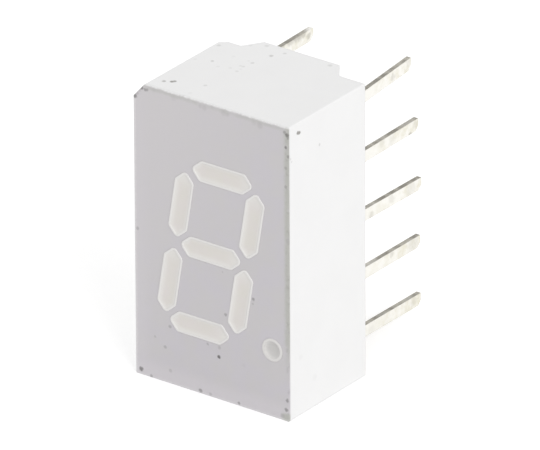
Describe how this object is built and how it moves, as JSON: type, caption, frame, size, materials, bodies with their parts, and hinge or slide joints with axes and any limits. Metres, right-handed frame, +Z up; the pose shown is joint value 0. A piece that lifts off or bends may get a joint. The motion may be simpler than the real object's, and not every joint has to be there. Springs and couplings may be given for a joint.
{
  "type": "seven segment display",
  "caption": "Upright white display block with a slanted seven segment digit and round decimal point in a grey front, standoff tabs and two rows of straight leads behind.",
  "frame": {"origin": "centre of the bottom end face, midway between the front face and the rear edges of the side walls", "axes": "+Z up along the digit's height, +X to the right seen from the front, +Y to the rear along the leads; the digit looks towards -Y"},
  "size_m": [0.0074, 0.0102, 0.0127],
  "materials": {
    "white_plastic": "white moulded plastic, satin",
    "grey_print": "flat light grey print with worn, darker edges",
    "diffused_epoxy": "milky cream epoxy, smooth",
    "tinned_lead": "tin plated strip with bare, darker sheared edges",
    "chip": "sawn semiconductor",
    "bond_wire": "gold wire"
  },
  "bodies": {
    "root": {"housing": "white_plastic", "front_mask": "grey_print", "epoxy_fill": "diffused_epoxy", "lead_common": "tinned_lead", "lead_10": "tinned_lead", "lead_9": "tinned_lead", "lead_8": "tinned_lead", "lead_5": "tinned_lead", "lead_4": "tinned_lead", "lead_2": "tinned_lead", "lead_3": "tinned_lead", "lead_7": "tinned_lead", "chip_a": "chip", "chip_b": "chip", "chip_c": "chip", "chip_d": "chip", "chip_e": "chip", "chip_f": "chip", "chip_g": "chip", "chip_dp": "chip", "wire_a": "bond_wire", "wire_b": "bond_wire", "wire_c": "bond_wire", "wire_d": "bond_wire", "wire_e": "bond_wire", "wire_f": "bond_wire", "wire_g": "bond_wire", "wire_dp": "bond_wire"}
  },
  "joints": []
}
